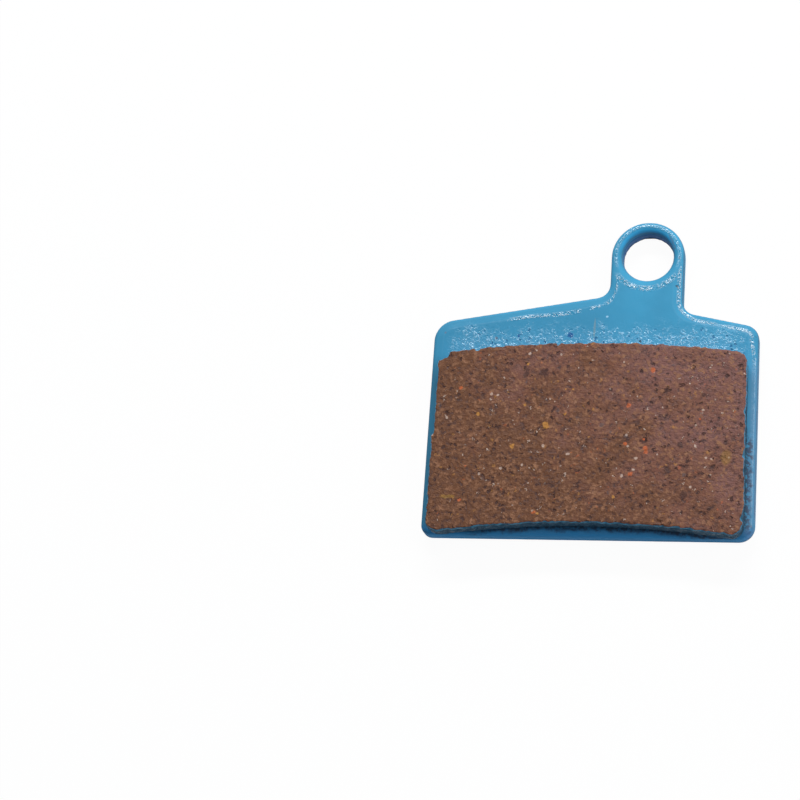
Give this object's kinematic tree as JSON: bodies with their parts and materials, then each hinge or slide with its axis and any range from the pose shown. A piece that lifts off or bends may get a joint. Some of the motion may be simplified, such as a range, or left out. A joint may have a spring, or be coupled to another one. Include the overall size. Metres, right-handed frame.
{
  "type": "bicycle disc brake pad",
  "caption": "Flat disc brake pad: a stamped steel backing plate with an off-centre pin eye, and a moulded friction lining keyed through it by plugs.",
  "frame": {"origin": "centre of the retaining eye's bore on the plate's flat back face", "axes": "+Z out of the friction face, along the bore; +Y from the lining towards the eye's round head; +X to the right when the friction face is seen"},
  "size_m": [0.031, 0.0313, 0.0035],
  "materials": {
    "powder_coated_steel": "semi-gloss blue powder coat",
    "friction_compound": "matt, granular organic compound"
  },
  "bodies": {
    "root": {"backing_plate": "powder_coated_steel", "friction_lining": "friction_compound"}
  },
  "joints": []
}
